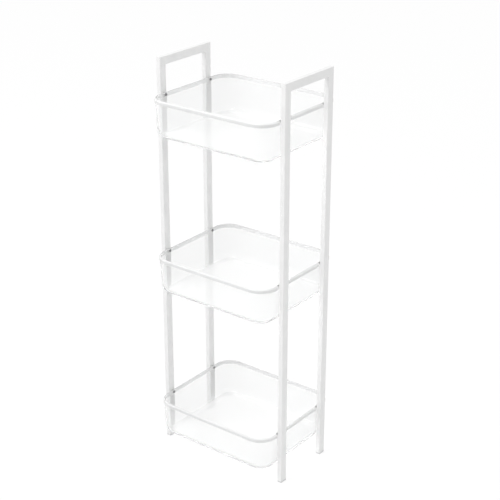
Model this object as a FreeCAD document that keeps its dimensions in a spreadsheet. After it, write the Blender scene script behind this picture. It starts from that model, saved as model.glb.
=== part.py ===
import FreeCAD, Part
import math
import os
import Sketcher

# Three-tier storage rack. Two upside-down U frames of rectangular steel tube stand left and right,
# and three clear moulded baskets are screwed between them at their rims.
# Millimetres. X runs across the rack from frame to frame, Y from front to rear, Z up.
# The origin lies on the floor under the middle of the rack.

SIZES = {
    # Side frames: two posts and a handle bar of one tube, mitred at 45 degrees
    "frame_height": 800,
    "tube_width": 16,
    "tube_thickness": 10,
    "tube_wall": 1,
    "tube_edge_radius": 1.2,
    "tube_bore_radius": 0.4,
    # Feet: a pad under the tube with a plug up its bore
    "foot_height": 3.5,
    "foot_plug_length": 12,
    "foot_plug_clearance": 0.15,
    "foot_edge_radius": 0.7,
    # Baskets: sizes over the rim, which is a straight band above drafted walls
    "basket_length": 272,
    "basket_depth": 228,
    "basket_height": 77.5,
    "basket_corner_radius": 36,
    "basket_wall": 2.5,
    "basket_wall_inset": 3.2,
    "basket_base_radius": 22,
    "rim_step": 1.2,
    "rim_step_radius": 0.4,
    "rim_edge_radius": 1,
    # Places: a post's middle from the start of the rim's corner, the lowest rim's top from the floor,
    # and the highest rim's top from the top of the frame
    "post_to_corner": 13.25,
    "lower_rim_level": 106.6,
    "handle_rise": 66.5,
    # Fastening: a screw and washer through the rim into a rivet nut in each post
    "screw_diameter": 3,
    "screw_head_diameter": 5.7,
    "screw_head_height": 1.7,
    "screw_socket_width": 2,
    "screw_socket_depth": 1,
    "screw_clearance": 0.4,
    "screw_tip_gap": 0.6,
    "washer_diameter": 7,
    "washer_thickness": 0.5,
    "washer_margin": 0.5,
    "nut_flange_diameter": 7,
    "nut_flange_thickness": 0.8,
    "nut_body_diameter": 5,
    "nut_bulge_diameter": 6.6,
    "nut_bulge_length": 1.4,
    "nut_end_gap": 3.4,
    "nut_clearance": 0.1,
    # How far a cut runs past the material that it removes
    "cut_overrun": 2,
}

# How much of a screw head's height its dome takes
HEAD_DOME_SHARE = 0.85

# The baskets from the floor up, and the sign of each side's and end's place along X and Y
TIERS = ("lower", "middle", "upper")
SIDES = {"left": "-", "right": "+"}
ENDS = {"front": "-", "rear": "+"}

# Sizes and places that follow from those above, as expressions on the sheet
POST_X = "(sizes.basket_length / 2 + sizes.nut_flange_thickness + sizes.tube_thickness / 2)"
POST_Y = "(sizes.basket_depth / 2 - sizes.basket_corner_radius - sizes.post_to_corner)"
FRAME_DEPTH = f"(2 * {POST_Y} + sizes.tube_width)"
POST_LENGTH = "(sizes.frame_height - sizes.foot_height)"
BORE_THICKNESS = "(sizes.tube_thickness - 2 * sizes.tube_wall)"
BORE_WIDTH = "(sizes.tube_width - 2 * sizes.tube_wall)"
TIER_PITCH = f"((sizes.frame_height - sizes.handle_rise - sizes.lower_rim_level) / {len(TIERS) - 1})"
RIM_THICKNESS = "(sizes.basket_wall + sizes.rim_step)"
RIM_HEIGHT = "(sizes.washer_diameter + 2 * sizes.washer_margin)"
WALL_HEIGHT = f"(sizes.basket_height - {RIM_HEIGHT})"
SCREW_DROP = f"({RIM_HEIGHT} / 2)"
SCREW_SEAT_X = f"(sizes.basket_length / 2 - {RIM_THICKNESS})"
LOWEST_SCREW_Z = f"(sizes.lower_rim_level - {SCREW_DROP})"
NUT_LENGTH = "(sizes.nut_flange_thickness + sizes.tube_thickness - sizes.tube_wall - sizes.nut_end_gap)"
SCREW_REACH = f"(sizes.washer_thickness + {RIM_THICKNESS} + {NUT_LENGTH} - sizes.screw_tip_gap)"

doc = FreeCAD.newDocument("basket_rack")
sheet = doc.addObject("Spreadsheet::Sheet", "sizes")


def fill_sheet():
    """Write one row for each driving dimension: its name, and its value under that alias."""
    for row, (name, size) in enumerate(SIZES.items(), start=1):
        sheet.set(f"A{row}", name)
        sheet.set(f"B{row}", str(size))
        sheet.setAlias(f"B{row}", name)
    doc.recompute()


def value(expression):
    """The present value of an expression on the sheet."""
    return float(sheet.evalExpression(expression))


def new_body(label, x="0", y="0", z="0", turned=False):
    """A body with its own label and place; a turned one faces the other way about Z."""
    body = doc.addObject("PartDesign::Body", label)
    body.Label = label
    half_turn = FreeCAD.Rotation(FreeCAD.Vector(0, 0, 1), 180 if turned else 0)
    body.Placement = FreeCAD.Placement(FreeCAD.Vector(), half_turn)
    for axis, place in zip("xyz", (x, y, z)):
        body.setExpression(f"Placement.Base.{axis}", place)
    return body


def origin_feature(body, role):
    """One of the body's own origin planes or axes."""
    return next(f for f in body.Origin.OriginFeatures if f.Role == role)


def new_sketch(body, name, plane, offset="0", shift_x="0", shift_y="0"):
    """A sketch on one of the body's origin planes, moved off it and across it by expressions."""
    sketch = body.newObject("Sketcher::SketchObject", f"{body.Name}_{name}")
    sketch.AttachmentSupport = [(origin_feature(body, plane), "")]
    sketch.MapMode = "FlatFace"
    for axis, place in zip("xyz", (shift_x, shift_y, offset)):
        sketch.setExpression(f"AttachmentOffset.Base.{axis}", place)
    return sketch


def start_of(curve):
    """A curve's start point, as a sketch's constraints name it."""
    return curve, 1


def end_of(curve):
    """A curve's end point, as a sketch's constraints name it."""
    return curve, 2


def centre_of(curve):
    """A round curve's centre, as a sketch's constraints name it."""
    return curve, 3


def horizontal_axis():
    """A sketch's first axis, as its constraints name it."""
    return -1


def vertical_axis():
    """A sketch's second axis, as its constraints name it."""
    return -2


def origin_point():
    """A sketch's origin, as its constraints name it."""
    return start_of(horizontal_axis())


def constrain(sketch, kind, *places):
    """Add a constraint without a size to a sketch."""
    sketch.addConstraint(Sketcher.Constraint(kind, *places))


def dimension(sketch, name, expression, kind, *places):
    """Add a named dimension to a sketch, driven by an expression."""
    index = sketch.addConstraint(Sketcher.Constraint(kind, *places, value(expression)))
    sketch.renameConstraint(index, name)
    sketch.setExpression(f"Constraints.{name}", expression)


def place_point(sketch, name, point, x, y):
    """Fix a sketch's point by its distances from the axes, or on an axis where a distance is nothing."""
    if value(x) == 0:
        constrain(sketch, "PointOnObject", *point, vertical_axis())
    else:
        dimension(sketch, f"{name}_x", x, "DistanceX", *origin_point(), *point)
    if value(y) == 0:
        constrain(sketch, "PointOnObject", *point, horizontal_axis())
    else:
        dimension(sketch, f"{name}_y", y, "DistanceY", *origin_point(), *point)


def followed(items):
    """Each item of a closed chain with the one that follows it."""
    return zip(items, items[1:] + items[:1])


def rounded_rectangle(sketch, name, across, along, radius):
    """A rectangle about the sketch's origin with four equal round corners."""
    a, b, r = value(across) / 2, value(along) / 2, value(radius)
    centres = [FreeCAD.Vector(x, y) for x, y in ((r - a, r - b), (a - r, r - b), (a - r, b - r), (r - a, b - r))]
    outward = [FreeCAD.Vector(x, y) for x, y in ((0, -r), (r, 0), (0, r), (-r, 0))]
    lines = []
    arcs = []
    for turn, (before, after) in enumerate(followed(centres)):
        side = Part.LineSegment(before + outward[turn], after + outward[turn])
        corner = Part.Circle(after, FreeCAD.Vector(0, 0, 1), r)
        lines.append(sketch.addGeometry(side))
        arcs.append(sketch.addGeometry(Part.ArcOfCircle(corner, (turn - 1) * math.pi / 2, turn * math.pi / 2)))
    for (line, next_line), arc in zip(followed(lines), arcs):
        constrain(sketch, "Tangent", *end_of(line), *start_of(arc))
        constrain(sketch, "Tangent", *end_of(arc), *start_of(next_line))
    front, right, rear, left = lines
    for line in (front, rear):
        constrain(sketch, "Horizontal", line)
    for line in (left, right):
        constrain(sketch, "Vertical", line)
    for arc in arcs[1:]:
        constrain(sketch, "Equal", arcs[0], arc)
    constrain(sketch, "Symmetric", *centre_of(arcs[0]), *centre_of(arcs[2]), *origin_point())
    dimension(sketch, f"{name}_radius", radius, "Radius", arcs[0])
    dimension(sketch, f"{name}_across", across, "DistanceX", *start_of(left), *start_of(right))
    dimension(sketch, f"{name}_along", along, "DistanceY", *start_of(front), *start_of(rear))


def outline(sketch, points):
    """A closed outline of straight lines through points given as pairs of expressions."""
    corners = [FreeCAD.Vector(value(x), value(y)) for x, y in points]
    lines = [sketch.addGeometry(Part.LineSegment(near, far)) for near, far in followed(corners)]
    for line, next_line in followed(lines):
        constrain(sketch, "Coincident", *end_of(line), *start_of(next_line))
    for line, (x, y) in zip(lines, points):
        place_point(sketch, f"corner_{line}", start_of(line), x, y)


def circle(sketch, diameter, x, y):
    """A circle about the point (x, y); returns its number in the sketch."""
    centre = FreeCAD.Vector(value(x), value(y))
    curve = sketch.addGeometry(Part.Circle(centre, FreeCAD.Vector(0, 0, 1), value(diameter) / 2))
    dimension(sketch, "diameter", diameter, "Diameter", curve)
    place_point(sketch, "centre", centre_of(curve), x, y)
    return curve


def circle_pair(sketch, diameter, x, y):
    """A circle about (x, y) and its mirror image across the sketch's second axis."""
    curve = circle(sketch, diameter, x, y)
    centre = FreeCAD.Vector(-value(x), value(y))
    image = sketch.addGeometry(Part.Circle(centre, FreeCAD.Vector(0, 0, 1), value(diameter) / 2))
    constrain(sketch, "Equal", curve, image)
    constrain(sketch, "Symmetric", *centre_of(curve), *centre_of(image), vertical_axis())


def hexagon(sketch, width):
    """A regular hexagon about the sketch's origin, with its width across the flats."""
    corner = FreeCAD.Vector(0, value(width) / math.sqrt(3))
    turns = [FreeCAD.Rotation(FreeCAD.Vector(0, 0, 1), 60 * i) for i in range(6)]
    corners = [turn.multVec(corner) for turn in turns]
    guide = sketch.addGeometry(Part.Circle(FreeCAD.Vector(), FreeCAD.Vector(0, 0, 1), corner.Length), True)
    constrain(sketch, "Coincident", *centre_of(guide), *origin_point())
    sides = [sketch.addGeometry(Part.LineSegment(near, far)) for near, far in followed(corners)]
    for side, next_side in followed(sides):
        constrain(sketch, "Coincident", *end_of(side), *start_of(next_side))
        constrain(sketch, "PointOnObject", *start_of(side), guide)
    for side in sides[1:]:
        constrain(sketch, "Equal", sides[0], side)
    constrain(sketch, "PointOnObject", *start_of(sides[0]), vertical_axis())
    dimension(sketch, "guide_radius", f"{width} / sqrt(3)", "Radius", guide)


def pad(body, sketch, length, symmetric=False):
    """Raise a sketch's outline into material along its plane's normal."""
    feature = body.newObject("PartDesign::Pad", f"{sketch.Name}_pad")
    feature.Profile = sketch
    feature.setExpression("Length", length)
    if symmetric:
        feature.SideType = "Symmetric"
    doc.recompute()
    return feature


def pocket(body, sketch, length=None, reversed_cut=False):
    """Cut a sketch's outline away: to a length, or with none right through on both sides."""
    before = body.Shape.Volume
    feature = body.newObject("PartDesign::Pocket", f"{sketch.Name}_cut")
    feature.Profile = sketch
    if length is None:
        feature.Type = "ThroughAll"
        feature.SideType = "Symmetric"
    else:
        feature.setExpression("Length", length)
    feature.Reversed = reversed_cut
    doc.recompute()
    if not feature.Shape.Volume < before:
        raise ValueError(f"{feature.Name} removed nothing")
    return feature


def revolve(body, sketch):
    """Turn a sketch's outline right round its horizontal axis."""
    feature = body.newObject("PartDesign::Revolution", f"{sketch.Name}_turn")
    feature.Profile = sketch
    feature.ReferenceAxis = (sketch, ["H_Axis"])
    doc.recompute()
    return feature


def fillet(body, base, radius, face):
    """Round the edges of a feature that bound one of its faces."""
    around = [edge.hashCode() for edge in face.Edges]
    names = [f"Edge{i}" for i, edge in enumerate(base.Shape.Edges, start=1) if edge.hashCode() in around]
    feature = body.newObject("PartDesign::Fillet", f"{base.Name}_round")
    feature.Base = (base, names)
    feature.setExpression("Radius", radius)
    doc.recompute()
    return feature


def flat_face(feature, axis, place):
    """The flat face of a feature that lies square to an axis, X, Y or Z, at a place along it."""
    at = value(place)
    slack = value("sizes.tube_wall") / 1000
    for face in feature.Shape.Faces:
        ends = [getattr(face.BoundBox, f"{axis}{end}") for end in ("Min", "Max")]
        if all(abs(end - at) < slack for end in ends):
            return face
    raise ValueError(f"{feature.Name} has no flat face at {axis} {at}")


def mirror(body, plane, originals=None):
    """Mirror some features, or the whole body with none given, across an origin plane."""
    feature = body.newObject("PartDesign::Mirrored", f"{body.Name}_{plane}_mirror")
    if originals:
        feature.Originals = originals
    else:
        feature.TransformMode = "Whole shape"
    feature.MirrorPlane = (origin_feature(body, plane), [""])
    body.Tip = feature
    doc.recompute()
    return feature


def repeat_per_tier(body, originals=None):
    """Repeat some features, or the whole body, up the post at the baskets' spacing."""
    feature = body.newObject("PartDesign::LinearPattern", f"{body.Name}_tiers")
    if originals:
        feature.Originals = originals
    else:
        feature.TransformMode = "Whole shape"
    feature.Direction = (origin_feature(body, "Z_Axis"), [""])
    feature.Mode = "Spacing"
    feature.Occurrences = len(TIERS)
    feature.setExpression("Offset", TIER_PITCH)
    body.Tip = feature
    doc.recompute()
    return feature


def tube_section(sketch):
    """The rectangular tube's wall in section, thin way along the sketch's first axis."""
    rounded_rectangle(sketch, "outer", "sizes.tube_thickness", "sizes.tube_width", "sizes.tube_edge_radius")
    rounded_rectangle(sketch, "bore", BORE_THICKNESS, BORE_WIDTH, "sizes.tube_bore_radius")


def mitre_corner(sketch, corner_x, corner_y, outward):
    """A triangle that slices a tube's end at 45 degrees; its square corner points up (1) or down (-1)."""
    reach = "(sizes.tube_width + 2 * sizes.cut_overrun)"
    far_x = f"({corner_x} + sizes.cut_overrun)"
    far_y = f"({corner_y} + {outward} * sizes.cut_overrun)"
    near_x = f"({far_x} - {reach})"
    near_y = f"({far_y} - {outward} * {reach})"
    outline(sketch, [(far_x, far_y), (near_x, far_y), (far_x, near_y)])


def make_post(side, end):
    """A post: tube on its foot, mitred towards its partner, with a nut hole for each basket."""
    body = new_body(
        f"{side}_{end}_post",
        x=f"{SIDES[side]}{POST_X}",
        y=f"{ENDS[end]}{POST_Y}",
        z="sizes.foot_height",
        turned=end == "rear",
    )
    section = new_sketch(body, "section", "XY_Plane")
    tube_section(section)
    pad(body, section, POST_LENGTH)
    slice_sketch = new_sketch(body, "mitre", "YZ_Plane")
    mitre_corner(slice_sketch, "sizes.tube_width / 2", POST_LENGTH, outward=1)
    pocket(body, slice_sketch)
    hole_sketch = new_sketch(body, "nut_hole", "YZ_Plane")
    hole_diameter = "sizes.nut_body_diameter + sizes.nut_clearance"
    circle(hole_sketch, hole_diameter, "0", f"{LOWEST_SCREW_Z} - sizes.foot_height")
    facing_back = (side == "left") == (end == "front")
    hole = pocket(body, hole_sketch, "sizes.tube_thickness", reversed_cut=facing_back)
    repeat_per_tier(body, [hole])
    return body


def make_handle_bar(side):
    """A handle bar: tube laid front to rear, mitred down onto both posts."""
    body = new_body(
        f"{side}_handle_bar",
        x=f"{SIDES[side]}{POST_X}",
        z="sizes.frame_height - sizes.tube_width / 2",
    )
    section = new_sketch(body, "section", "XZ_Plane")
    tube_section(section)
    pad(body, section, FRAME_DEPTH, symmetric=True)
    slice_sketch = new_sketch(body, "mitre", "YZ_Plane")
    mitre_corner(slice_sketch, f"{FRAME_DEPTH} / 2", "-sizes.tube_width / 2", outward=-1)
    cut = pocket(body, slice_sketch)
    mirror(body, "XZ_Plane", [cut])
    return body


def make_foot(side, end):
    """A foot: a pad with the tube's outline, softened where it meets the floor, and a plug up the bore."""
    body = new_body(
        f"{side}_{end}_foot",
        x=f"{SIDES[side]}{POST_X}",
        y=f"{ENDS[end]}{POST_Y}",
    )
    sole = new_sketch(body, "sole", "XY_Plane")
    rounded_rectangle(sole, "sole", "sizes.tube_thickness", "sizes.tube_width", "sizes.tube_edge_radius")
    pad(body, sole, "sizes.foot_height")
    plug = new_sketch(body, "plug", "XY_Plane", offset="sizes.foot_height")
    slack = "2 * sizes.foot_plug_clearance"
    rounded_rectangle(
        plug, "plug", f"{BORE_THICKNESS} - {slack}", f"{BORE_WIDTH} - {slack}", "sizes.tube_bore_radius"
    )
    raised = pad(body, plug, "sizes.foot_plug_length")
    fillet(body, raised, "sizes.foot_edge_radius", flat_face(raised, "Z", "0"))
    return body


def make_rivet_nuts(side, end):
    """The rivet nuts of one post: flange against the rim, body through the tube's wall, bulge behind it."""
    body = new_body(
        f"{side}_{end}_rivet_nuts",
        x=f"{SIDES[side]}sizes.basket_length / 2",
        y=f"{ENDS[end]}{POST_Y}",
        z=LOWEST_SCREW_Z,
        turned=side == "left",
    )
    profile = new_sketch(body, "profile", "XY_Plane")
    thread = "(sizes.screw_diameter / 2 + sizes.nut_clearance / 2)"
    barrel = "sizes.nut_body_diameter / 2"
    bulge = "sizes.nut_bulge_diameter / 2"
    flange = "sizes.nut_flange_diameter / 2"
    seat = "sizes.nut_flange_thickness"
    behind = f"({seat} + sizes.tube_wall)"
    past_bulge = f"({behind} + sizes.nut_bulge_length)"
    outline(profile, [
        ("0", thread), ("0", flange), (seat, flange), (seat, barrel), (behind, barrel), (behind, bulge),
        (past_bulge, bulge), (past_bulge, barrel), (NUT_LENGTH, barrel), (NUT_LENGTH, thread),
    ])
    revolve(body, profile)
    repeat_per_tier(body)
    return body


def rim_level(tier):
    """The height of a basket's rim, as an expression."""
    return f"(sizes.lower_rim_level + {TIERS.index(tier)} * {TIER_PITCH})"


def make_basket(tier):
    """A basket: drafted and rounded outside, a straight rim band, a matching cavity and four screw holes."""
    body = new_body(f"{tier}_basket", z=f"{rim_level(tier)} - sizes.basket_height")
    inset = "(sizes.rim_step + sizes.basket_wall_inset)"
    draft = f"atan(sizes.basket_wall_inset / {WALL_HEIGHT})"

    base = new_sketch(body, "base", "XY_Plane")
    rounded_rectangle(
        base, "base", f"sizes.basket_length - 2 * {inset}", f"sizes.basket_depth - 2 * {inset}",
        f"sizes.basket_corner_radius - {inset}"
    )
    walls = pad(body, base, WALL_HEIGHT)
    walls.setExpression("TaperAngle", draft)

    rim = new_sketch(body, "rim", "XY_Plane", offset=WALL_HEIGHT)
    rounded_rectangle(rim, "rim", "sizes.basket_length", "sizes.basket_depth", "sizes.basket_corner_radius")
    pad(body, rim, RIM_HEIGHT)

    mouth = new_sketch(body, "mouth", "XY_Plane", offset="sizes.basket_height")
    mouth_size = (f"sizes.basket_length - 2 * {RIM_THICKNESS}", f"sizes.basket_depth - 2 * {RIM_THICKNESS}")
    mouth_radius = f"sizes.basket_corner_radius - {RIM_THICKNESS}"
    rounded_rectangle(mouth, "mouth", *mouth_size, mouth_radius)
    pocket(body, mouth, RIM_HEIGHT)

    well = new_sketch(body, "well", "XY_Plane", offset=WALL_HEIGHT)
    rounded_rectangle(well, "well", *mouth_size, mouth_radius)
    hollow = pocket(body, well, f"{WALL_HEIGHT} - sizes.basket_wall")
    hollow.setExpression("TaperAngle", f"-{draft}")
    doc.recompute()
    rounding = [
        ("sizes.basket_wall", "sizes.basket_base_radius - sizes.basket_wall"),
        ("0", "sizes.basket_base_radius"),
        (WALL_HEIGHT, "sizes.rim_step_radius"),
        ("sizes.basket_height", "sizes.rim_edge_radius"),
    ]
    rounded = hollow
    for level, radius in rounding:
        rounded = fillet(body, rounded, radius, flat_face(rounded, "Z", level))

    holes = new_sketch(body, "screw_holes", "YZ_Plane")
    hole_diameter = "sizes.screw_diameter + sizes.screw_clearance"
    circle_pair(holes, hole_diameter, POST_Y, f"sizes.basket_height - {SCREW_DROP}")
    pocket(body, holes)
    return body


def make_washers(tier):
    """The four washers inside one basket's rim."""
    body = new_body(f"{tier}_basket_washers", z=f"{rim_level(tier)} - {SCREW_DROP}")
    seat = f"{SCREW_SEAT_X} - sizes.washer_thickness"
    profile = new_sketch(body, "profile", "XY_Plane", shift_x=seat, shift_y=POST_Y)
    bore = "(sizes.screw_diameter / 2 + sizes.screw_clearance / 2)"
    edge = "sizes.washer_diameter / 2"
    thickness = "sizes.washer_thickness"
    outline(profile, [("0", bore), ("0", edge), (thickness, edge), (thickness, bore)])
    revolve(body, profile)
    mirror(body, "XZ_Plane")
    mirror(body, "YZ_Plane")
    return body


def make_screws(tier):
    """The four screws of one basket: a domed head with a hexagon socket, and a shank into the nut."""
    body = new_body(f"{tier}_basket_screws", z=f"{rim_level(tier)} - {SCREW_DROP}")
    head_top = f"({SCREW_SEAT_X} - sizes.washer_thickness - sizes.screw_head_height)"
    profile = new_sketch(body, "profile", "XY_Plane", shift_x=head_top, shift_y=POST_Y)
    head = "sizes.screw_head_diameter / 2"
    shank = "sizes.screw_diameter / 2"
    underside = "sizes.screw_head_height"
    tip = f"(sizes.screw_head_height + {SCREW_REACH})"
    outline(profile, [("0", "0"), ("0", head), (underside, head), (underside, shank), (tip, shank), (tip, "0")])
    turned = revolve(body, profile)
    fillet(body, turned, f"{HEAD_DOME_SHARE} * sizes.screw_head_height", flat_face(turned, "X", head_top))
    socket = new_sketch(body, "socket", "YZ_Plane", offset=head_top, shift_x=POST_Y)
    hexagon(socket, "sizes.screw_socket_width")
    pocket(body, socket, "sizes.screw_socket_depth", reversed_cut=True)
    mirror(body, "XZ_Plane")
    mirror(body, "YZ_Plane")
    return body


def build_rack():
    """Every piece of the rack, as a list of bodies."""
    pieces = []
    for side in SIDES:
        pieces.append(make_handle_bar(side))
        for end in ENDS:
            pieces.append(make_post(side, end))
            pieces.append(make_foot(side, end))
            pieces.append(make_rivet_nuts(side, end))
    for tier in TIERS:
        pieces.append(make_basket(tier))
        pieces.append(make_washers(tier))
        pieces.append(make_screws(tier))
    return pieces


def check(pieces):
    """Stop if any object of the document failed, or a piece is empty or not sound."""
    doc.recompute()
    for item in doc.Objects:
        if "Invalid" in item.State or "Error" in item.State:
            raise ValueError(f"{item.Name}: {item.State}")
    for piece in pieces:
        if piece.Shape.isNull() or not piece.Shape.isValid() or not piece.Shape.Solids:
            raise ValueError(f"{piece.Label} has no sound shape")


def write(pieces):
    """Write each piece to a file named for it."""
    os.makedirs("parts", exist_ok=True)
    for piece in pieces:
        piece.Shape.exportStep(f"parts/{piece.Label}.step")
        print(f"{piece.Label}: {len(piece.Shape.Solids)} solids, {piece.Shape.Volume:.0f} mm3")


fill_sheet()
rack = build_rack()
check(rack)
write(rack)
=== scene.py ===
import math
import random

import bmesh
import bpy
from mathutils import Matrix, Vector


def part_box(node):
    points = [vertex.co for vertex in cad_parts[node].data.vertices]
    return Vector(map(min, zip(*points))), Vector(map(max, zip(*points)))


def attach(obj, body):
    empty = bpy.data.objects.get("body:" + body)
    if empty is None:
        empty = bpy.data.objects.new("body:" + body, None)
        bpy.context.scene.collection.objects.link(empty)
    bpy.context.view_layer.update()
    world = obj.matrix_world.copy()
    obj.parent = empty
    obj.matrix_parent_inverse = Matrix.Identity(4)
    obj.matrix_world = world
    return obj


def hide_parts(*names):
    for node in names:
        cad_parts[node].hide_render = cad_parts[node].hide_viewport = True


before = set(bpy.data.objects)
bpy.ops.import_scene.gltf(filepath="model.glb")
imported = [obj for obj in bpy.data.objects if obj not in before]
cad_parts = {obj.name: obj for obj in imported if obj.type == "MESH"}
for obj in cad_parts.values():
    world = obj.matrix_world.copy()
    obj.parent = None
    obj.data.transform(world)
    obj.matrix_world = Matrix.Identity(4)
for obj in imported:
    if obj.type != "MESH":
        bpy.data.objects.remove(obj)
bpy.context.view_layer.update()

# A three-tier storage rack: white steel tube frames left and right, clear moulded baskets between.
# Metres. Outer sizes and places come from the frame; the sizes below are the details inside them.

Y = 1
Z = 2
TIERS = ("lower", "middle", "upper")
SIDES = {"left": -1, "right": 1}
ENDS = {"front": -1, "rear": 1}

# Side frames and feet
TUBE_WALL = 0.001
TUBE_EDGE_RADIUS = 0.0012
NUT_HOLE_RADIUS = 0.00255
FOOT_EDGE_RADIUS = 0.0007
PLUG_CLEARANCE = 0.00015
PLUG_CHAMFER = 0.0005

# Baskets
CORNER_RADIUS = 0.036
BASKET_WALL = 0.0025
WALL_INSET = 0.0032
BASE_RADIUS = 0.022
RIM_STEP = 0.0012
RIM_STEP_RADIUS = 0.0004
RIM_EDGE_RADIUS = 0.001
RIM_ROUND_WIDTH = 0.0024
RIM_ROUND_HEIGHT = 0.0036
RIM_HEIGHT = 0.008
SCREW_HOLE_RADIUS = 0.0017
SCREW_PAD_LENGTH = 0.017
WHITE_FLOOR_HEIGHT = 0.0066
WHITE_LIP_HEIGHT = 0.0024
DRILL_OVERSHOOT = 0.001

# Offsets of the wall's outside and inside under the rim, from the centres of the round corners
WALL_OFFSET = CORNER_RADIUS - RIM_STEP
MOUTH_OFFSET = WALL_OFFSET - BASKET_WALL

# Washers, screws and rivet nuts
WASHER_RADIUS = 0.0035
WASHER_THICKNESS = 0.0005
HEAD_RADIUS = 0.00285
HEAD_HEIGHT = 0.0017
HEAD_DOME_RADIUS = 0.001445
SOCKET_SIDES = 6
SOCKET_WIDTH = 0.002
SOCKET_DEPTH = 0.001
SOCKET_TURN = math.pi / 3
THREAD_RADIUS = 0.00148
THREAD_ROOT = 0.0012
THREAD_PITCH = 0.0005
THREAD_CORNERS = 3
FLANGE_RADIUS = 0.0035
FLANGE_THICKNESS = 0.0008
BARREL_RADIUS = 0.0025
BULGE_RADIUS = 0.0033
BULGE_LENGTH = 0.0014
NUT_BORE_RADIUS = 0.00155
SOFT_EDGE = 0.00012
TURN_SEED = 7

# Fineness of the round stretches
CORNER_STEPS = 24
BASE_STEPS = 14
DOME_STEPS = 14
EDGE_STEPS = 5
SOFT_STEPS = 2
TURNED_SIDES = 40
THREAD_STEPS = 20

# Limits that tell one direction or place from another
SQUARE = 0.99
TINY = 1e-6
SMOOTH_ANGLE = math.radians(32)
SHARP_ANGLE = math.radians(50)

# The plastic's bend of light, its tones, and how much of the light goes through it clear
PLASTIC_IOR = 1.3
CLEAR_TONE = (0.985, 0.987, 0.987)
# The frosted tone is greyer than the clear one as painted shade: it darkens the rims' outer bands
# against their white lip and inner faces.
FROSTED_SHADE_TONE = (0.8, 0.802, 0.802)
WHITE_SHARE = 0.4
HAZY_SHARE = 0.88
FROSTED_SHARE = 0.35

# The order of the finishes on a basket
WHITE, HAZY, FROSTED_SHADED = range(3)

# The middle range of a noise, where nearly all its values lie
NOISE_LOW = 0.3
NOISE_HIGH = 0.7

# The studio: sizes in metres, lamps in watts
FLOOR_SIZE = 24
FLOOR_TONE = (0.8, 0.8, 0.8)
FLOOR_GLOW = 1.05
FLOOR_GLOW_SHARE = 0.85
AMBIENT = 0.74
LAMP_SIZE = 2
KEY_PLACE = Vector((-1.2, -2.0, 3.4))
KEY_WATTS = 60
FILL_PLACE = Vector((4.0, -0.4, 2.2))
FILL_WATTS = 13

# The camera, found from the corners of the side frames in the photograph
SENSOR_MM = 36
LENS_MM = 92.46
TARGET = Vector((0.01403, 0, 0.433787))
DISTANCE = 2.44768
AZIMUTH = math.radians(37.694)
ELEVATION = math.radians(23.52)


def clear_selection():
    """Deselect everything, so that the next operator acts on the new piece alone."""
    bpy.ops.object.select_all(action="DESELECT")


def take(piece):
    """Make a piece the only one selected, and the active one."""
    clear_selection()
    piece.select_set(True)
    bpy.context.view_layer.objects.active = piece


def pick(kind, test):
    """In edit mode, select only the edges or faces that pass a test."""
    bpy.ops.mesh.select_mode(type=kind)
    bpy.ops.mesh.select_all(action="DESELECT")
    mesh = bmesh.from_edit_mesh(bpy.context.object.data)
    for part in {"EDGE": mesh.edges, "FACE": mesh.faces}[kind]:
        if test(part):
            part.select_set(True)
    mesh.select_flush_mode()
    bmesh.update_edit_mesh(bpy.context.object.data)


def runs_along(edge, axis):
    """Whether an edge is parallel to an axis."""
    run = edge.verts[0].co - edge.verts[1].co
    return abs(run[axis]) > SQUARE * run.length


def lies_at(face, axis, place):
    """Whether a flat face lies square to an axis at a place along it."""
    off_by = abs(face.calc_center_median()[axis] - place)
    return abs(face.normal[axis]) > SQUARE and off_by < TINY


def open_primitive(name):
    """Name the primitive that was just added, settle it at the origin and open it for shaping."""
    piece = bpy.context.object
    piece.name = name
    bpy.ops.object.transform_apply()
    bpy.ops.object.mode_set(mode="EDIT")
    return piece


def close_piece():
    """Leave edit mode."""
    bpy.ops.object.mode_set(mode="OBJECT")


def add_block(name, low, high):
    """Add a block between two corners and open it for shaping."""
    clear_selection()
    bpy.ops.mesh.primitive_cube_add(size=1, location=(low + high) / 2, scale=high - low)
    return open_primitive(name)


def push(height):
    """Extrude the selected faces straight along Z."""
    bpy.ops.mesh.extrude_region_move(TRANSFORM_OT_translate={"value": (0, 0, height)})


def round_edges(radius):
    """Round the selected edges."""
    bpy.ops.mesh.bevel(offset=radius, segments=EDGE_STEPS, affect="EDGES")


def soften_edges(offset):
    """Take the sharpness off every hard edge of the piece in edit mode."""
    bpy.ops.mesh.select_mode(type="EDGE")
    bpy.ops.mesh.select_all(action="DESELECT")
    bpy.ops.mesh.edges_select_sharp(sharpness=SHARP_ANGLE)
    bpy.ops.mesh.bevel(offset=offset, segments=SOFT_STEPS, affect="EDGES")


def carve(piece, cutter):
    """Cut one object's shape out of a piece and delete the cutter."""
    take(piece)
    bpy.ops.object.modifier_add(type="BOOLEAN")
    cut = piece.modifiers[-1]
    cut.object = cutter
    cut.operation = "DIFFERENCE"
    cut.solver = "EXACT"
    bpy.ops.object.modifier_apply(modifier=cut.name)
    bpy.data.objects.remove(cutter)


def drill(piece, radius, start, end):
    """Bore a round hole along X from one point to another."""
    clear_selection()
    bpy.ops.mesh.primitive_cylinder_add(
        vertices=TURNED_SIDES, radius=radius, depth=(end - start).length,
        location=(start + end) / 2, rotation=(0, math.pi / 2, 0),
    )
    carve(piece, bpy.context.object)


def copy_piece(piece, name, place=(0, 0, 0), turn=(0, 0, 0), mirror=(1, 1, 1)):
    """A copy of a piece with its own mesh: moved, turned or mirrored, and settled at the origin."""
    take(piece)
    bpy.ops.object.duplicate(linked=False)
    copy = bpy.context.object
    copy.name = name
    copy.location = place
    copy.rotation_euler = turn
    copy.scale = mirror
    bpy.ops.object.transform_apply()
    return copy


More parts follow.
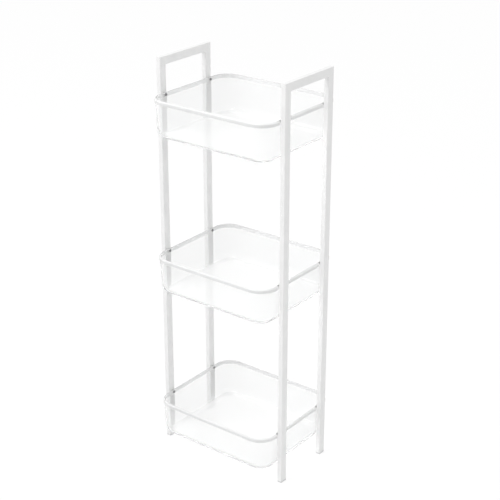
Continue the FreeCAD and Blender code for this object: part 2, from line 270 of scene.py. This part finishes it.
def finish_surface(piece):
    """Merge doubles, turn faces outward, and shade round stretches smooth and flat ones flat."""
    take(piece)
    bpy.ops.object.mode_set(mode="EDIT")
    bpy.ops.mesh.select_all(action="SELECT")
    bpy.ops.mesh.remove_doubles(threshold=TINY)
    bpy.ops.mesh.normals_make_consistent(inside=False)
    close_piece()
    bpy.ops.object.shade_smooth_by_angle(angle=SMOOTH_ANGLE)
    bpy.ops.object.modifier_add(type="WEIGHTED_NORMAL")
    weights = piece.modifiers[-1]
    weights.keep_sharp = True
    bpy.ops.object.modifier_apply(modifier=weights.name)


def add_tube(name, low, high, along):
    """A hollow rectangular tube with rounded long edges, between two corners."""
    piece = add_block(name, low, high)
    pick("EDGE", lambda edge: runs_along(edge, along))
    round_edges(TUBE_EDGE_RADIUS)
    pick("FACE", lambda face: abs(face.normal[along]) > SQUARE)
    bpy.ops.mesh.inset(thickness=TUBE_WALL, use_individual=True)
    bpy.ops.mesh.bridge_edge_loops()
    return piece


def mitre(corner, outward):
    """Slice the tube in edit mode through its outer corner and close the wall's cut end."""
    bpy.ops.mesh.select_mode(type="EDGE")
    bpy.ops.mesh.select_all(action="SELECT")
    bpy.ops.mesh.bisect(plane_co=corner, plane_no=outward, clear_outer=True)
    bpy.ops.mesh.bridge_edge_loops()


def model_post():
    """The right front post: a tube mitred at its top, bored on its inner side for each rivet nut."""
    low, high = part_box("right_front_post")
    piece = add_tube("post_shape", low, high, Z)
    mitre(Vector((high.x, low.y, high.z)), (0, 1, 1))
    close_piece()
    middle = (low + high) / 2
    for tier in TIERS:
        level = fastener_level(tier)
        outside = Vector((2 * low.x - middle.x, middle.y, level))
        drill(piece, NUT_HOLE_RADIUS, outside, Vector((middle.x, middle.y, level)))
    return piece


def model_handle_bar():
    """The right handle bar: a tube mitred at both ends down onto its posts."""
    low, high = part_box("right_handle_bar")
    piece = add_tube("handle_bar_shape", low, high, Y)
    mitre(Vector((high.x, low.y, high.z)), (0, -1, -1))
    mitre(high, (0, 1, -1))
    close_piece()
    return piece


def model_foot():
    """The right front foot: a pad with softened sole, and a plug that fills the tube's bore."""
    low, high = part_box("right_front_foot")
    tube_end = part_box("right_front_post")[0].z
    piece = add_block("foot_shape", low, Vector((high.x, high.y, tube_end)))
    pick("EDGE", lambda edge: runs_along(edge, Z))
    round_edges(TUBE_EDGE_RADIUS)
    pick("EDGE", lambda edge: all(vert.co.z < low.z + TINY for vert in edge.verts))
    round_edges(FOOT_EDGE_RADIUS)
    pick("FACE", lambda face: lies_at(face, Z, tube_end))
    bpy.ops.mesh.inset(thickness=TUBE_WALL + PLUG_CLEARANCE)
    push(high.z - tube_end - PLUG_CHAMFER)
    bpy.ops.mesh.inset(thickness=PLUG_CHAMFER, depth=PLUG_CHAMFER)
    close_piece()
    return piece


def arc(centre, radius, start, end, steps):
    """Points along an arc about a centre, from one angle to another in degrees."""
    angles = [math.radians(start + (end - start) * i / steps) for i in range(steps + 1)]
    return [(centre[0] + radius * math.cos(a), centre[1] + radius * math.sin(a)) for a in angles]


def base_arc(wall_foot, floor, radius, draft):
    """The round between a drafted wall, given by its offset at floor level, and the floor."""
    centre = wall_foot + radius * math.tan(draft) - radius / math.cos(draft)
    return arc((centre, floor + radius), radius, -math.degrees(draft), -90, BASE_STEPS)


def rim_round(top):
    """The rim's outer round, from its outer face to its top; it is higher than it is wide."""
    offset = CORNER_RADIUS - RIM_ROUND_WIDTH
    height = top - RIM_ROUND_HEIGHT
    unit_round = arc((0, 0), 1, 0, 90, 2 * EDGE_STEPS)
    return [(offset + RIM_ROUND_WIDTH * x, height + RIM_ROUND_HEIGHT * y) for x, y in unit_round]


def outside_profile(base, band, draft):
    """The outside below the rim: the step under the band, the wall and the round to the base."""
    step = RIM_STEP_RADIUS
    profile = arc((CORNER_RADIUS - step, band + step), step, 0, -90, EDGE_STEPS)
    profile += arc((WALL_OFFSET + step, band - step), step, 90, 180, EDGE_STEPS)
    return profile + base_arc(WALL_OFFSET - WALL_INSET, base, BASE_RADIUS, draft)


def inside_profile(top, band, floor, draft):
    """The rim's outer round and lip, the inner wall, and the round to the floor."""
    edge = RIM_EDGE_RADIUS
    floor_foot = MOUTH_OFFSET - (band - floor) * math.tan(draft)
    profile = rim_round(top)
    profile += arc((MOUTH_OFFSET + edge, top - edge), edge, 90, 180, EDGE_STEPS)
    profile.append((MOUTH_OFFSET, band))
    return profile + base_arc(floor_foot, floor, BASE_RADIUS - BASKET_WALL, draft)


def follow(profile, side):
    """Grow the selected face along a profile of (offset, height), upward (1) or downward (-1)."""
    for (offset, height), (next_offset, next_height) in zip(profile, profile[1:]):
        if offset - next_offset > TINY:
            bpy.ops.mesh.inset(
                thickness=offset - next_offset, depth=side * (next_height - height)
            )
        else:
            push(next_height - height)


def bore_rim(piece, left, right):
    """Bore a basket's rim for its screws and outline the stretch of rim around each of them."""
    level = fastener_level("lower")
    for end in ENDS:
        across = fastener_place("lower", "left", end).y
        start = Vector((left - DRILL_OVERSHOOT, across, level))
        drill(piece, SCREW_HOLE_RADIUS, start, Vector((right + DRILL_OVERSHOOT, across, level)))
        take(piece)
        bpy.ops.object.mode_set(mode="EDIT")
        for reach in (-SCREW_PAD_LENGTH / 2, SCREW_PAD_LENGTH / 2):
            bpy.ops.mesh.select_all(action="SELECT")
            bpy.ops.mesh.bisect(plane_co=(0, across + reach, level), plane_no=(0, 1, 0))
        close_piece()


def model_basket():
    """The lower basket: a rim band, and walls grown from it outside and inside to a round base."""
    low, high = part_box("lower_basket")
    band = high.z - RIM_HEIGHT
    shoulder = high.z - RIM_ROUND_HEIGHT
    draft = math.atan(WALL_INSET / (band - low.z))
    band_low = Vector((low.x, low.y, band + RIM_STEP_RADIUS))
    piece = add_block("basket_shape", band_low, Vector((high.x, high.y, shoulder)))
    pick("EDGE", lambda edge: runs_along(edge, Z))
    bpy.ops.mesh.bevel(offset=CORNER_RADIUS, segments=CORNER_STEPS, affect="EDGES")
    pick("FACE", lambda face: face.normal.z < -SQUARE)
    follow(outside_profile(low.z, band, draft), -1)
    pick("FACE", lambda face: lies_at(face, Z, shoulder))
    follow(inside_profile(high.z, band, low.z + BASKET_WALL, draft), 1)
    close_piece()
    bore_rim(piece, low.x, high.x)
    return piece


def fastener_level(tier):
    """The height of a basket's screws."""
    low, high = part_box(f"{tier}_basket_washers")
    return (low.z + high.z) / 2


def fastener_place(tier, side, end):
    """Where a screw's axis meets the inner face of a basket's rim."""
    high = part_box(f"{tier}_basket_washers")[1]
    across = ENDS[end] * (high.y - WASHER_RADIUS)
    return Vector((SIDES[side] * high.x, across, fastener_level(tier)))


def add_turned(name, profile):
    """A turned piece on Z: a disc grown ring by ring through pairs of height and radius."""
    clear_selection()
    height, radius = profile[0]
    bpy.ops.mesh.primitive_circle_add(
        vertices=TURNED_SIDES, radius=radius, fill_type="NGON", location=(0, 0, height)
    )
    piece = open_primitive(name)
    bpy.ops.mesh.select_mode(type="FACE")
    bpy.ops.mesh.select_all(action="SELECT")
    for next_height, next_radius in profile[1:]:
        push(next_height - height)
        share = next_radius / radius
        bpy.ops.transform.resize(value=(share, share, 1), center_override=(0, 0, next_height))
        height, radius = next_height, next_radius
    return piece


def bore_through(profile, radius):
    """Open a round hole along Z between the end faces of a turned piece in edit mode."""
    for height, end_radius in (profile[0], profile[-1]):
        pick("FACE", lambda face: lies_at(face, Z, height) and len(face.verts) == TURNED_SIDES)
        bpy.ops.mesh.inset(thickness=end_radius - radius)
    pick("FACE", lambda face: len(face.verts) == TURNED_SIDES)
    bpy.ops.mesh.bridge_edge_loops()


def model_washer():
    """A washer, its bearing face at height zero, open for the screw and softened at its edges."""
    profile = [(-WASHER_THICKNESS, WASHER_RADIUS), (0, WASHER_RADIUS)]
    piece = add_turned("washer_shape", profile)
    bore_through(profile, SCREW_HOLE_RADIUS)
    soften_edges(SOFT_EDGE)
    close_piece()
    return piece


def model_rivet_nut():
    """A rivet nut, its flange's face at height zero, with the bulge that grips the tube."""
    low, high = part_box("right_front_rivet_nuts")
    behind = FLANGE_THICKNESS + TUBE_WALL
    past_bulge = behind + BULGE_LENGTH
    profile = [
        (0, FLANGE_RADIUS), (FLANGE_THICKNESS, FLANGE_RADIUS), (FLANGE_THICKNESS, BARREL_RADIUS),
        (behind, BARREL_RADIUS), (behind, BULGE_RADIUS), (past_bulge, BULGE_RADIUS),
        (past_bulge, BARREL_RADIUS), (high.x - low.x, BARREL_RADIUS),
    ]
    piece = add_turned("rivet_nut_shape", profile)
    bore_through(profile, NUT_BORE_RADIUS)
    soften_edges(SOFT_EDGE)
    close_piece()
    return piece


def model_thread(start, length):
    """A helical ridge on Z: a triangle carried round and up, and closed at both ends."""
    clear_selection()
    bpy.ops.mesh.primitive_circle_add(
        vertices=THREAD_CORNERS, radius=THREAD_RADIUS - THREAD_ROOT,
        location=(THREAD_ROOT, 0, start), rotation=(math.pi / 2, math.pi / 2, 0),
    )
    piece = open_primitive("thread_shape")
    close_piece()
    turns = math.floor(length / THREAD_PITCH)
    bpy.ops.object.modifier_add(type="SCREW")
    helix = piece.modifiers[-1]
    helix.angle = 2 * math.pi * turns
    helix.screw_offset = THREAD_PITCH * turns
    helix.steps = THREAD_STEPS * turns
    helix.render_steps = THREAD_STEPS * turns
    bpy.ops.object.modifier_apply(modifier=helix.name)
    bpy.ops.object.mode_set(mode="EDIT")
    bpy.ops.mesh.select_all(action="SELECT")
    bpy.ops.mesh.fill_holes(sides=THREAD_CORNERS)
    close_piece()
    return piece


def model_screw():
    """A screw, its head's underside at height zero: dome, hexagon socket and threaded shank."""
    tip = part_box("lower_basket_screws")[1].x
    reach = tip - fastener_place("lower", "right", "front").x + WASHER_THICKNESS
    flat = HEAD_RADIUS - HEAD_DOME_RADIUS
    dome = arc((HEAD_DOME_RADIUS - HEAD_HEIGHT, flat), HEAD_DOME_RADIUS, 180, 90, DOME_STEPS)
    shank = [
        (0, HEAD_RADIUS), (0, THREAD_ROOT),
        (reach - SOFT_EDGE, THREAD_ROOT), (reach, THREAD_ROOT - SOFT_EDGE),
    ]
    piece = add_turned("screw_shape", dome + shank)
    close_piece()
    clear_selection()
    bpy.ops.mesh.primitive_cylinder_add(
        vertices=SOCKET_SIDES, radius=SOCKET_WIDTH / math.sqrt(3), depth=2 * SOCKET_DEPTH,
        location=(0, 0, -HEAD_HEIGHT),
    )
    carve(piece, bpy.context.object)
    thread = model_thread(THREAD_PITCH, reach - 2 * THREAD_PITCH)
    take(piece)
    thread.select_set(True)
    bpy.ops.object.join()
    return piece


def new_finish(name):
    """A new material, returned with its shader."""
    finish = bpy.data.materials.new(name)
    finish.use_nodes = True
    return finish, finish.node_tree.nodes["Principled BSDF"]


def add_node(finish, kind, **settings):
    """A new node in a finish, with its properties and its input values set by name."""
    node = finish.node_tree.nodes.new(kind)
    for name, setting in settings.items():
        if hasattr(node, name):
            setattr(node, name, setting)
        else:
            node.inputs[name.replace("_", " ")].default_value = setting
    return node


def wire(finish, source, target):
    """Link an output socket to an input socket."""
    finish.node_tree.links.new(source, target)


def wire_surface(finish, shader, tone, gloss, grain):
    """Wire a finish's tone, gloss and relief into its shader."""
    wire(finish, tone, shader.inputs["Base Color"])
    wire(finish, gloss, shader.inputs["Roughness"])
    wire(finish, grain, shader.inputs["Normal"])


def wire_mix(finish, share, first, second):
    """Send a mix of two shaders to a finish's output, with a share of the second."""
    mix = add_node(finish, "ShaderNodeMixShader")
    wire(finish, share, mix.inputs[0])
    wire(finish, first, mix.inputs[1])
    wire(finish, second, mix.inputs[2])
    output = finish.node_tree.nodes["Material Output"]
    wire(finish, mix.outputs["Shader"], output.inputs["Surface"])


def larger(finish, first, second):
    """The larger of two values."""
    node = add_node(finish, "ShaderNodeMath", operation="MAXIMUM")
    wire(finish, first, node.inputs[0])
    wire(finish, second, node.inputs[1])
    return node.outputs["Value"]


def noise(finish, scale, detail):
    """Noise in the piece's own metres, as a 0 to 1 output."""
    place = add_node(finish, "ShaderNodeTexCoord")
    texture = add_node(finish, "ShaderNodeTexNoise", Scale=scale, Detail=detail)
    wire(finish, place.outputs["Object"], texture.inputs["Vector"])
    return texture.outputs["Fac"]


def spread(finish, source, low, high):
    """Stretch a noise's middle range to run between two values."""
    ranged = add_node(
        finish, "ShaderNodeMapRange",
        From_Min=NOISE_LOW, From_Max=NOISE_HIGH, To_Min=low, To_Max=high,
    )
    wire(finish, source, ranged.inputs["Value"])
    return ranged.outputs["Result"]


def tones(finish, source, dark, light):
    """Turn a noise into a gentle run between two colours."""
    ramp = add_node(finish, "ShaderNodeValToRGB")
    first, last = ramp.color_ramp.elements
    first.position = NOISE_LOW
    last.position = NOISE_HIGH
    first.color = (*dark, 1)
    last.color = (*light, 1)
    wire(finish, source, ramp.inputs["Fac"])
    return ramp.outputs["Color"]


def relief(finish, source, depth, strength):
    """A bump from a noise, of a depth in metres."""
    bump = add_node(finish, "ShaderNodeBump", Strength=strength, Distance=depth)
    wire(finish, source, bump.inputs["Height"])
    return bump.outputs["Normal"]


def white_powder_coat():
    """Satin white powder coat: a fine orange peel, with slow changes of tone and gloss."""
    finish, shader = new_finish("white_powder_coat")
    patches = noise(finish, scale=45, detail=3)
    tone = tones(finish, patches, dark=(0.865, 0.867, 0.865), light=(0.9, 0.9, 0.897))
    gloss = spread(finish, noise(finish, scale=18, detail=4), low=0.36, high=0.48)
    peel = relief(finish, noise(finish, scale=900, detail=2), depth=0.00004, strength=0.35)
    wire_surface(finish, shader, tone, gloss, peel)
    return finish


def clear_moulding(name, colour, clear_share):
    """Moulded plastic, from clear to frosted, that lets the lamps' light through."""
    finish, shader = new_finish(name)
    shader.inputs["Base Color"].default_value = (*colour, 1)
    shader.inputs["Transmission Weight"].default_value = clear_share
    shader.inputs["IOR"].default_value = PLASTIC_IOR
    haze = spread(finish, noise(finish, scale=60, detail=3), low=0, high=0.02)
    flow = relief(finish, noise(finish, scale=22, detail=2), depth=0.00006, strength=0.2)
    wire(finish, haze, shader.inputs["Roughness"])
    wire(finish, flow, shader.inputs["Normal"])
    path = add_node(finish, "ShaderNodeLightPath")
    passing = add_node(finish, "ShaderNodeBsdfTransparent", Color=(*CLEAR_TONE, 1))
    wire_mix(finish, path.outputs["Is Shadow Ray"], shader.outputs["BSDF"], passing.outputs["BSDF"])
    return finish


def metal(name, dark, light, low, high):
    """Plated steel with a fine grain in its tone, gloss and surface."""
    finish, shader = new_finish(name)
    shader.inputs["Metallic"].default_value = 1
    tone = tones(finish, noise(finish, scale=700, detail=3), dark, light)
    gloss = spread(finish, noise(finish, scale=400, detail=4), low, high)
    grain = relief(finish, noise(finish, scale=3000, detail=2), depth=0.00001, strength=0.3)
    wire_surface(finish, shader, tone, gloss, grain)
    return finish


def foot_moulding():
    """Matte grey moulded plastic with a fine spark-eroded grain."""
    finish, shader = new_finish("foot_moulding")
    patches = noise(finish, scale=300, detail=3)
    tone = tones(finish, patches, dark=(0.66, 0.66, 0.66), light=(0.74, 0.74, 0.74))
    gloss = spread(finish, noise(finish, scale=200, detail=3), low=0.5, high=0.7)
    grain = relief(finish, noise(finish, scale=2500, detail=3), depth=0.00004, strength=0.5)
    wire_surface(finish, shader, tone, gloss, grain)
    return finish


def dress(piece, finish, slot, *nodes):
    """Give a piece its surface and finish, tie it to the rack and let it stand for its solids."""
    finish_surface(piece)
    piece.data.materials.clear()
    piece.data.materials.append(finish)
    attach(piece, "root")
    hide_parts(*nodes)


def build_frames():
    """Four posts, two handle bars and four feet, mirrored from the right front ones."""
    coat = white_powder_coat()
    grey_plastic = foot_moulding()
    post = model_post()
    foot = model_foot()
    bar = model_handle_bar()
    for side in SIDES:
        copy = copy_piece(bar, f"{side}_handle_tube", mirror=(SIDES[side], 1, 1))
        dress(copy, coat, "frame_paint", f"{side}_handle_bar")
        for end in ENDS:
            mirror = (SIDES[side], -ENDS[end], 1)
            copy = copy_piece(post, f"{side}_{end}_post_tube", mirror=mirror)
            dress(copy, coat, "frame_paint", f"{side}_{end}_post")
            copy = copy_piece(foot, f"{side}_{end}_foot_plug", mirror=mirror)
            dress(copy, grey_plastic, "foot_plastic", f"{side}_{end}_foot")
    for shape in (post, foot, bar):
        bpy.data.objects.remove(shape)


def part_finishes(piece, low, high, across):
    """Give white to a basket's floor, lip and inner rim, frost with a grey tone of painted shade to
    its outer bands, haze to the rest.

    Around the right screws the rim stays as clear as the walls, so that they show through it.
    """
    for face in piece.data.polygons:
        off_screw = abs(abs(face.center.y) - across)
        on_pad = face.center.x > 0 and off_screw < SCREW_PAD_LENGTH / 2
        on_floor = face.center.z < low.z + WHITE_FLOOR_HEIGHT and face.normal.z > 0
        on_rim = face.center.z > high.z - RIM_HEIGHT and not on_pad
        outward = face.normal.x * face.center.x + face.normal.y * face.center.y > 0
        # The outer band below the lip takes the frosted finish, whose grey tone is painted shade.
        if on_rim and outward and face.center.z < high.z - WHITE_LIP_HEIGHT:
            face.material_index = FROSTED_SHADED
        elif on_rim or on_floor:
            face.material_index = WHITE
        else:
            face.material_index = HAZY


def build_baskets():
    """Three baskets of white, hazy and frosted plastic, copied upward from the lower one; the
    frosted outer rim bands carry a grey tone of painted shade.
    """
    white = clear_moulding("white_moulding", CLEAR_TONE, WHITE_SHARE)
    hazy = clear_moulding("hazy_moulding", CLEAR_TONE, HAZY_SHARE)
    frosted_shaded = clear_moulding("frosted_shaded_moulding", FROSTED_SHADE_TONE, FROSTED_SHARE)
    basket = model_basket()
    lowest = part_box("lower_basket")[0].z
    for tier in TIERS:
        low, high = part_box(f"{tier}_basket")
        copy = copy_piece(basket, f"{tier}_basket_tray", place=(0, 0, low.z - lowest))
        dress(copy, white, "clear_plastic", f"{tier}_basket")
        copy.data.materials.append(hazy)
        copy.data.materials.append(frosted_shaded)
        part_finishes(copy, low, high, fastener_place(tier, "left", "rear").y)
    bpy.data.objects.remove(basket)


def build_fasteners():
    """A screw, washer and rivet nut wherever a rim meets a post, each screw at a turn of its own."""
    # The screws are steel, toned dark as painted reflection and painted shade: the darkness stands
    # for what the heads reflect and the shaded gap beside the posts.
    steel = metal("steel_with_painted_dark_reflection", (0.2, 0.2, 0.205), (0.3, 0.3, 0.305), 0.22, 0.38)
    zinc = metal("zinc_plated_steel", (0.66, 0.66, 0.66), (0.78, 0.78, 0.77), 0.35, 0.5)
    screw = model_screw()
    washer = model_washer()
    nut = model_rivet_nut()
    chance = random.Random(TURN_SEED)
    for tier in TIERS:
        for side, sign in SIDES.items():
            for end in ENDS:
                seat = fastener_place(tier, side, end)
                inward = Vector((-sign * WASHER_THICKNESS, 0, 0))
                rim = Vector((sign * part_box(f"{tier}_basket")[1].x, seat.y, seat.z))
                lie = (0, sign * math.pi / 2, 0)
                rolled = (chance.uniform(0, SOCKET_TURN) * sign, sign * math.pi / 2, 0)
                place = f"{tier}_{side}_{end}"
                copy = copy_piece(screw, f"{place}_screw", place=seat + inward, turn=rolled)
                dress(copy, steel, "screw_steel", f"{tier}_basket_screws")
                copy = copy_piece(washer, f"{place}_washer", place=seat, turn=lie)
                dress(copy, zinc, "screw_steel", f"{tier}_basket_washers")
                copy = copy_piece(nut, f"{place}_rivet_nut", place=rim, turn=lie)
                dress(copy, zinc, "nut_steel", f"{side}_{end}_rivet_nuts")
    for shape in (screw, washer, nut):
        bpy.data.objects.remove(shape)


def seen_directly(finish):
    """One for rays that show the background: from the camera, mirrored, or through plastic."""
    path = add_node(finish, "ShaderNodeLightPath")
    turned = larger(finish, path.outputs["Is Glossy Ray"], path.outputs["Is Transmission Ray"])
    return larger(finish, path.outputs["Is Camera Ray"], turned)


def build_floor():
    """A wide pale floor that shows white where light reaches it and keeps a soft shadow."""
    clear_selection()
    bpy.ops.mesh.primitive_plane_add(size=FLOOR_SIZE)
    floor = bpy.context.object
    floor.name = "studio_floor"
    finish, shader = new_finish("studio_floor")
    shader.inputs["Base Color"].default_value = (*FLOOR_TONE, 1)
    shader.inputs["Roughness"].default_value = 1
    shader.inputs["Specular IOR Level"].default_value = 0
    glow = add_node(finish, "ShaderNodeEmission", Strength=FLOOR_GLOW)
    share = add_node(finish, "ShaderNodeMath", operation="MULTIPLY")
    share.inputs[1].default_value = FLOOR_GLOW_SHARE
    wire(finish, seen_directly(finish), share.inputs[0])
    wire_mix(finish, share.outputs["Value"], shader.outputs["BSDF"], glow.outputs["Emission"])
    floor.data.materials.append(finish)


def build_world():
    """An even white surround: full white where it shows, and a plain light level elsewhere."""
    world = bpy.data.worlds.new("studio")
    world.use_nodes = True
    bpy.context.scene.world = world
    background = world.node_tree.nodes["Background"]
    background.inputs["Color"].default_value = (1, 1, 1, 1)
    level = add_node(world, "ShaderNodeMapRange", To_Min=AMBIENT, To_Max=1)
    wire(world, seen_directly(world), level.inputs["Value"])
    wire(world, level.outputs["Result"], background.inputs["Strength"])


def add_lamp(name, place, watts):
    """A soft square lamp that points at the middle of the rack."""
    clear_selection()
    aim = (TARGET - place).to_track_quat("-Z", "Y")
    bpy.ops.object.light_add(type="AREA", location=place, rotation=aim.to_euler())
    lamp = bpy.context.object
    lamp.name = name
    lamp.data.energy = watts
    lamp.data.size = LAMP_SIZE


def build_camera():
    """The photograph's camera."""
    clear_selection()
    level = math.cos(ELEVATION)
    back = Vector((math.sin(AZIMUTH) * level, -math.cos(AZIMUTH) * level, math.sin(ELEVATION)))
    aim = (-back).to_track_quat("-Z", "Y")
    bpy.ops.object.camera_add(location=TARGET + DISTANCE * back, rotation=aim.to_euler())
    camera = bpy.context.object
    camera.name = "photo_camera"
    camera.data.sensor_width = SENSOR_MM
    camera.data.lens = LENS_MM
    bpy.context.scene.camera = camera


build_frames()
build_baskets()
build_fasteners()
build_floor()
build_world()
add_lamp("key_lamp", KEY_PLACE, KEY_WATTS)
add_lamp("fill_lamp", FILL_PLACE, FILL_WATTS)
build_camera()
bpy.context.scene.view_settings.view_transform = "Standard"
